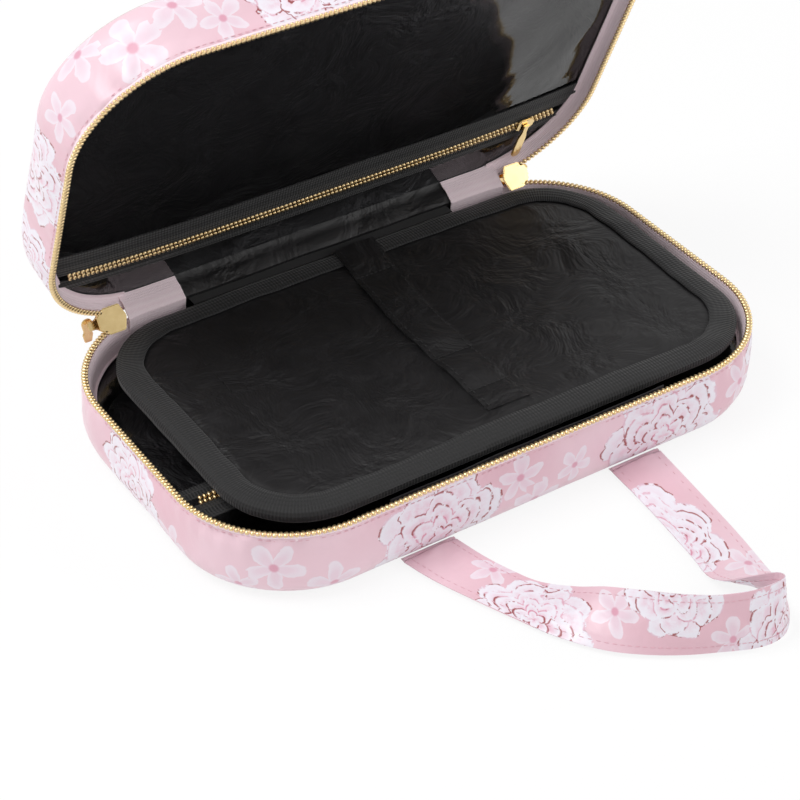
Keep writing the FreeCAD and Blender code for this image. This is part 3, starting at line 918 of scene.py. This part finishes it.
rows = []
binding_section = [(10.6, 0.15), (10.2, 0.62), (8.5, 0.72), (5.5, 0.66), (2.6, 0.45), (0.9, -0.3),
                   (0.1, -1.7), (0.2, -3.6), (1.2, -4.9), (3.0, -5.2), (6.0, -5.3), (9.5, -5.25),
                   (10.6, -4.9)]
section_run = [0.0]
for first, second in zip(binding_section, binding_section[1:]):
    section_run.append(section_run[-1] + math.hypot(first[0] - second[0], first[1] - second[1]))
page_perimeter = 2 * math.pi * PAGE_CORNER + 4 * (PAGE_HALF.x + PAGE_HALF.y - 2 * PAGE_CORNER)
for inset, rise in binding_section:
    row = []
    for index in range(page_around):
        turn = index / page_around
        wave = 0.5 * ripple(turn * 70, inset * 0.2, 51.0)
        place, normal = page_edge(turn, (inset + (wave if inset > 8 else 0.3 * wave)) * MM)
        top = page_top(place.x, place.y)
        z = top + (rise + 0.2 * wave) * MM if rise > -1 else page_high.z + rise * MM
        row.append((place.x, place.y, z))
    rows.append(row)
binding_map = lambda row, column: (column / page_around * page_perimeter, section_run[row] * MM)
binding = fabric("page_binding_tape", rows, binding_map, 0.5 * MM, grosgrain, closed=True, offset=1.0)
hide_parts("page_binding")
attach(binding, "page")

black_thread = woven_tape("black_thread", (0.012, 0.012, 0.013), (0.004, 0.004, 0.004), 0.4 * MM)
frames = []
for index in range(int(page_perimeter / (3.0 * MM))):
    place, normal = page_edge(index * 3.0 * MM / page_perimeter, 9.3 * MM)
    frames.append(((place.x, place.y, page_top(place.x, place.y) + 0.72 * MM), (normal.y, -normal.x, 0),
                   (normal.x, normal.y, 0), (0, 0, 1)))
page_stitches = stitches("page_binding_stitches", frames, 2.1 * MM, 0.4 * MM, black_thread, "page")

# Page strap: a folded black satin band laid across the page from its back edge and stitched
# down at three places, which leaves loops for brushes between them.
strap_low, strap_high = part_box("page_strap")
strap_rows = 110
strap_across = 15
anchors = [50 * MM, -14 * MM, -39 * MM, strap_low.y + 2 * MM]


def strap_place(y, part):
    """A point on the strap; part runs 0 to 1 from its left edge to its right edge."""
    drift = 7.5 * MM * max(0.0, y / (75 * MM)) ** 1.5
    left = strap_low.x - 0.5 * MM + drift
    x = left + (strap_high.x - strap_low.x - 0.5 * MM) * part
    nearest = min(abs(y - anchor) for anchor in anchors)
    loop = min(1.0, nearest / (9 * MM))
    rise = 0.75 + 1.1 * loop + 0.7 * math.sin(math.pi * part) * loop
    crease = 0.5 * ripple(x * 60, y * 75, 61.0) * loop
    return Vector((x, y, page_top(x, y) + (rise + crease) * MM))


rows = []
for row_index in range(strap_rows):
    y = strap_low.y + (strap_high.y - strap_low.y + 0.5 * MM) * row_index / (strap_rows - 1)
    rows.append([tuple(strap_place(y, column / (strap_across - 1))) for column in range(strap_across)])
strap_map = lambda row, column: (row * 1.1 * MM, column * 1.3 * MM)
strap = fabric("page_strap_band", rows, strap_map, 0.9 * MM, black_satin("black_satin_strap"))
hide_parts("page_strap")
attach(strap, "page")
frames = []
thread_rise = Vector((0, 0, 0.45 * MM))
for anchor in anchors[:3]:
    for index in range(9):
        place = strap_place(anchor, (index + 0.5) / 9) + thread_rise
        frames.append((place, (1, 0, 0), (0, 1, 0), (0, 0, 1)))
for part in (0.09, 0.91):
    for index in range(40):
        y = strap_low.y + 3 * MM + index * 3.1 * MM
        frames.append((strap_place(y, part) + thread_rise, (0, 1, 0), (-1, 0, 0), (0, 0, 1)))
stitches("page_strap_stitches", frames, 2.0 * MM, 0.4 * MM, black_thread, "page")

# Carry handle: a turned ribbon of the printed satin, top-stitched along both edges. Its legs
# lie flat and it rolls over between them, so that the front part stands on its outer edge.
# Each station gives the outer and then the inner edge: (x, distance in front of the wall, height).
handle_edges = [
    ((-61, 0.5, 0), (-37, 0.5, 0)), ((-57.5, 14, 0), (-34, 14, 0)), ((-51.5, 30, 0), (-30, 26, 0)),
    ((-44, 48, 0), (-25, 38, 0.6)), ((-37, 64, 0), (-19, 52, 6)), ((-27, 79, 0), (-15, 65, 14)),
    ((-16, 89, 0), (-10, 79, 20.5)), ((-4, 97, 0), (-1, 90, 22.5)), ((8, 103, 0), (10, 98.5, 23.2)),
    ((19, 108, 0), (22, 103.2, 23.5)), ((28, 109.5, 0), (33.5, 104, 23.5)),
    ((36, 107, 0.2), (35.5, 99, 21.8)), ((44, 98, 0.2), (30.5, 90, 15.5)),
    ((49.5, 86, 0), (28.5, 80, 7)), ((52, 73, 0), (28.5, 70, 2)),
    ((55, 54, 0), (32, 55, 0)), ((58, 28, 0), (35, 28, 0)), ((61, 0.5, 0), (37, 0.5, 0)),
]


def smooth_run(points, share):
    """Point at a share of the way along a smooth curve through the given points."""
    span = share * (len(points) - 1)
    index = min(int(span), len(points) - 2)
    t = span - index
    p0, p1 = points[max(index - 1, 0)], points[index]
    p2, p3 = points[index + 1], points[min(index + 2, len(points) - 1)]
    bend = (2 * p0 - 5 * p1 + 4 * p2 - p3) * t * t
    return 0.5 * (2 * p1 + (p2 - p0) * t + bend + (3 * p1 - p0 - 3 * p2 + p3) * t ** 3)


outer_run, inner_run = ([Vector((x, -HALF_Y / MM - reach, rise + 0.3)) * MM for x, reach, rise in edge]
                        for edge in zip(*handle_edges))
LONG = 260
ACROSS = 17
RIBBON_SEAMS = (0.12, 0.88)


def handle_point(share, part):
    """A point on the ribbon's middle surface, with the way it faces."""
    outer, inner = smooth_run(outer_run, share), smooth_run(inner_run, share)
    ahead = smooth_run(outer_run, min(1, share + 0.004)) + smooth_run(inner_run, min(1, share + 0.004))
    behind = smooth_run(outer_run, max(0, share - 0.004)) + smooth_run(inner_run, max(0, share - 0.004))
    normal = (ahead - behind).cross(inner - outer).normalized()
    place = outer.lerp(inner, part)
    middle = math.sin(math.pi * part)
    puff = 0.9 * ripple(share * 34 + part * 2.2, part * 1.6, 71.0)
    puff = middle * (puff + 0.35 * ripple(share * 90, part * 5, 73.0))
    return place + Vector((0, 0, 1.15 * MM)), normal, puff


handle_length = sum(((a + b - c - d) / 2).length for a, b, c, d in
                    zip(outer_run[1:], inner_run[1:], outer_run, inner_run))
rows = []
for index in range(LONG):
    share = index / (LONG - 1)
    row = []
    for side in (1, -1):
        parts = range(ACROSS) if side > 0 else range(ACROSS - 1, -1, -1)
        for step in parts:
            part = step / (ACROSS - 1)
            place, normal, puff = handle_point(share, part)
            half_thick = 0.28 + 0.75 * math.sin(math.pi * min(1.0, max(0.0, part))) ** 0.5
            edge_groove = 0.25 * sum(math.exp(-((part - seam) / 0.035) ** 2) for seam in RIBBON_SEAMS)
            depth = side * (half_thick - edge_groove) + (puff if side > 0 else 0.35 * puff)
            row.append(tuple(place + normal * depth * MM))
    rows.append(row)
ribbon_map = lambda row, column: (row / (LONG - 1) * handle_length + 0.05,
                                  0.9 + (column if column < ACROSS else column + 6) * 24 / ACROSS * MM)
handle = fabric("handle_ribbon", rows, ribbon_map, 0.0, satin, closed=True)
mesh = bmesh.new()
mesh.from_mesh(handle.data)
bmesh.ops.holes_fill(mesh, edges=[edge for edge in mesh.edges if edge.is_boundary], sides=0)
bmesh.ops.recalc_face_normals(mesh, faces=mesh.faces)
mesh.to_mesh(handle.data)
mesh.free()
handle_blossoms = [(0.05 + share * handle_length, v, size, 5 * share) for share, v, size in
                   ((0.60, 0.905, 0.026), (0.40, 0.925, 0.020), (0.20, 0.903, 0.022), (0.90, 0.925, 0.020),
                    (0.55, 0.950, 0.026), (0.78, 0.950, 0.022), (0.28, 0.950, 0.024))]
handle_sprigs = [(0.05 + share * handle_length, v, 0.010, 4 * share) for share, v in
                 ((0.10, 0.918), (0.31, 0.914), (0.49, 0.905), (0.72, 0.912), (0.82, 0.906), (0.10, 0.945),
                  (0.42, 0.943), (0.90, 0.945))]
lay_flowers(handle, handle_blossoms, handle_sprigs)
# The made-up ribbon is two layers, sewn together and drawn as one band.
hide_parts("handle_strap")
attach(handle, "handle")
frames = []
for side in (1, -1):
    for part in RIBBON_SEAMS:
        count = int(handle_length / (2.8 * MM))
        for index in range(1, count):
            share = index / count
            place, normal, puff = handle_point(share, part)
            ahead, _, _ = handle_point(min(1, share + 0.003), part)
            along = (ahead - place).normalized()
            depth = side * 0.55 + (puff if side > 0 else 0.35 * puff)
            frames.append((place + normal * depth * MM, along, normal.cross(along), normal))
stitches("handle_stitches", frames, 2.0 * MM, 0.4 * MM, pink_thread, "handle")

# Rim sliders: a pressed shield-shaped plate inside, a smaller body outside, a bridge and a flat pull
# at the outboard end. The plates are bare metal.
TILT = LID_ANGLE / 2


def turned(point):
    """From slider coordinates about the hinge line to the row frame, tilted half as far as the lid."""
    x, y, z = point
    back = y * math.cos(TILT) + z * math.sin(TILT)
    return Vector((x, HINGE.y + back, HINGE.z - y * math.sin(TILT) + z * math.cos(TILT)))


def flat_outline(x, y, corners, sign=1):
    """Corners in millimetres about (x, y), mirrored in x where sign is -1."""
    return [(x + sign * a * MM, y + b * MM) for a, b in corners]


def plate_piece(name, outline, y0, y1, bevel, body, place=turned):
    """A flat plate with softened edges from its outline, pushed between two depths."""
    mesh = bmesh.new()
    front = [mesh.verts.new((x, y0, z)) for x, z in outline]
    face = mesh.faces.new(front)
    grown = bmesh.ops.extrude_face_region(mesh, geom=[face])
    moved = [item for item in grown["geom"] if isinstance(item, bmesh.types.BMVert)]
    for vertex in moved:
        vertex.co.y = y1
    bmesh.ops.bevel(mesh, geom=mesh.edges[:], offset=bevel, segments=3, affect="EDGES", clamp_overlap=True)
    for vertex in mesh.verts:
        vertex.co = place(vertex.co)
    bmesh.ops.recalc_face_normals(mesh, faces=mesh.faces)
    data = bpy.data.meshes.new(name)
    mesh.to_mesh(data)
    mesh.free()
    piece = finish_piece(new_piece(name, data), plate_gold, angle=1)
    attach(piece, body)
    return piece


for side, sign in (("left", -1), ("right", 1)):
    body = "rim_slider_" + side
    mid = sign * 100 * MM
    shield = flat_outline(mid, 0, ((-6.6, 0), (-4.6, -5.6), (3.2, -5.6), (6.2, -2.8), (6.2, 2.8), (3.2, 5.6),
                                   (-4.6, 5.6)), sign)
    inner_plate = plate_piece("rim_slider_plate_" + side, shield, -5.0 * MM, -3.9 * MM, 0.35 * MM, body)
    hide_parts("main_slider_" + side)
    shell = flat_outline(mid, 0, ((-6.0, -2.2), (-3.5, -4.8), (3.0, -4.8), (6.0, -2.0), (9.2, -1.9),
                                  (9.2, 1.9), (6.0, 2.0), (3.0, 4.8), (-3.5, 4.8), (-6.0, 2.2)), sign)
    plate_piece("rim_slider_body_" + side, shell, -0.7 * MM, 0.5 * MM, 0.35 * MM, body)
    post = flat_outline(mid, 0, ((-5.4, -1.1), (-3.6, -1.1), (-3.6, 1.1), (-6.2, 1.1)), sign)
    plate_piece("rim_slider_post_" + side, post, -3.95 * MM, -0.3 * MM, 0.2 * MM, body)
    arch = flat_outline(mid, 0, ((-3.0, -0.9), (3.4, -0.9), (3.4, 0.9), (-3.0, 0.9)), sign)
    plate_piece("rim_slider_bridge_" + side, arch, 0.3 * MM, 1.5 * MM, 0.4 * MM, body)
    low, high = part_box("main_pull_" + side)
    centre_x = (low.x + high.x) / 2
    outline = []
    for angle in range(0, 181, 20):
        turn = math.radians(angle)
        outline.append((centre_x + 2.5 * MM * math.cos(turn), HINGE.z + 2.5 * MM * math.sin(turn)))
    shoulder, foot = HINGE.z - 4 * MM, low.z + 4 * MM
    outline += [(centre_x - 1.7 * MM, shoulder), (centre_x - 2.4 * MM, foot), (centre_x - 1.6 * MM, low.z),
                (centre_x + 1.6 * MM, low.z), (centre_x + 2.4 * MM, foot), (centre_x + 1.7 * MM, shoulder)]
    pull = plate_piece("rim_pull_bar_" + side, outline, low.y, high.y, 0.3 * MM, "rim_pull_" + side, Vector)
    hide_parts("main_pull_" + side)

# Pocket sliders: a small rounded body over the coil with a bridge, and a flat bar pull.
def pocket_set(half, x, pull_corners, slider_body, pull_body):
    pad = PADDING_TOP[half]
    y_mid = ZIP_LINE[half]
    stand = lambda point: Vector(in_place([point[0], point[2], point[1]], half))
    body_outline = flat_outline(x, y_mid, ((-4.5, -2.2), (-3.0, -3.5), (2.6, -3.5), (4.5, -1.6), (4.5, 1.6),
                                           (2.6, 3.5), (-3.0, 3.5), (-4.5, 2.2)))
    top = plate_piece(half + "_pocket_slider_top", body_outline, pad + 1.7 * MM, pad + 2.8 * MM, 0.4 * MM,
                      slider_body, stand)
    plate_piece(half + "_pocket_slider_under", body_outline, pad - 1.4 * MM, pad - 0.5 * MM, 0.3 * MM,
                slider_body, stand)
    neck = flat_outline(x, y_mid, ((-2.0, -0.25), (2.0, -0.25), (2.0, 0.25), (-2.0, 0.25)))
    plate_piece(half + "_pocket_slider_neck", neck, pad - 0.9 * MM, pad + 2.2 * MM, 0.08 * MM,
                slider_body, stand)
    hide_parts(half + "_pocket_slider")
    pull = plate_piece(half + "_pocket_pull_bar", flat_outline(x, y_mid, pull_corners), pad + 3.05 * MM,
                       pad + 4.0 * MM, 0.28 * MM, pull_body, stand)
    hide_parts(half + "_pocket_pull")


lid_bar = ((-1.5, -0.6), (1.5, -0.6), (1.3, 4.0), (2.25, 8.0), (2.25, 19.4), (1.2, 21.0), (-1.2, 21.0),
           (-2.25, 19.4), (-2.25, 8.0), (-1.3, 4.0))
pocket_set("lid", 102 * MM, lid_bar, "lid_pocket_slider_body", "lid_pocket_pull_body")
base_bar = ((-2.2, -1.2), (-2.2, 1.2), (4.0, 1.5), (8.0, 2.2), (25.2, 2.2), (27.0, 1.2), (27.0, -1.2),
            (25.2, -2.2), (8.0, -2.2), (4.0, -1.5))
pocket_set("base", -106 * MM, base_bar, "base_pocket_slider_body", "base_pocket_pull_body")

# Parts that keep their frame shapes: the boards, the page's hinge band and the handle's sewn roots.
foam = Finish("pale_foam")
cells = foam.grain(foam.spot(), 900.0, 3.0, 0.6)
foam_look = foam.set(Base_Color=foam.mix(cells, (0.60, 0.57, 0.53), (0.78, 0.76, 0.72)), Roughness=0.9,
                     Normal=foam.bump(cells, 0.3, 0.0003))
for node, part in frame["nodes"].items():
    if part.hide_render:
        continue
    if node.startswith("handle_anchor"):
        look = satin
    elif node == "page_hinge_band":
        look = grosgrain
    else:
        look = foam_look
    part.data.materials.clear()
    part.data.materials.append(look)

# Camera, floor and lights.
floor = Finish("pale_floor")
rays = floor.nodes.new("ShaderNodeLightPath")
seen = Field(floor, rays.outputs["Is Camera Ray"])
for kind in ("Is Transmission Ray", "Is Glossy Ray"):
    seen = seen.made("MAXIMUM", seen, Field(floor, rays.outputs[kind]))
floor.set(Base_Color=(0.9, 0.9, 0.9, 1), Roughness=0.9)
white = floor.nodes.new("ShaderNodeEmission")
blend_white = floor.nodes.new("ShaderNodeMixShader")
floor.give(blend_white.inputs[0], seen * 0.86)
floor.links.new(floor.shader.outputs[0], blend_white.inputs[1])
floor.links.new(white.outputs[0], blend_white.inputs[2])
floor.links.new(blend_white.outputs[0], floor.nodes["Material Output"].inputs["Surface"])
bpy.ops.mesh.primitive_plane_add(size=30, location=(0, 0, -0.0005))
ground_plane = bpy.context.active_object
ground_plane.name = "floor"
ground_plane.data.materials.append(floor.material)

world = bpy.data.worlds.new("studio")
bpy.context.scene.world = world
world.use_nodes = True
world.node_tree.nodes["Background"].inputs[0].default_value = (1, 1, 1, 1)
world.node_tree.nodes["Background"].inputs[1].default_value = 0.62

for name, place, size, power in (("key", (-0.8, 0.3, 1.5), 0.9, 17.0), ("fill", (1.3, -1.0, 0.8), 0.8, 7.0)):
    light = bpy.data.lights.new(name, "AREA")
    light.size = size
    light.energy = power
    lamp = bpy.data.objects.new(name, light)
    lamp.location = place
    lamp.rotation_euler = (Vector((0, 0, 0.05)) - Vector(place)).to_track_quat("-Z", "Y").to_euler()
    bpy.context.scene.collection.objects.link(lamp)

camera_data = bpy.data.cameras.new("camera")
camera_data.lens = 103.8
camera_data.sensor_width = 36.0
camera = bpy.data.objects.new("camera", camera_data)
camera.location = (-0.4161, -0.6237, 0.5801)
aim = Vector((-0.0619, -0.0791, 0.078))
camera.rotation_euler = (aim - camera.location).to_track_quat("-Z", "Y").to_euler()
bpy.context.scene.collection.objects.link(camera)
bpy.context.scene.camera = camera
bpy.context.scene.view_settings.view_transform = "Standard"
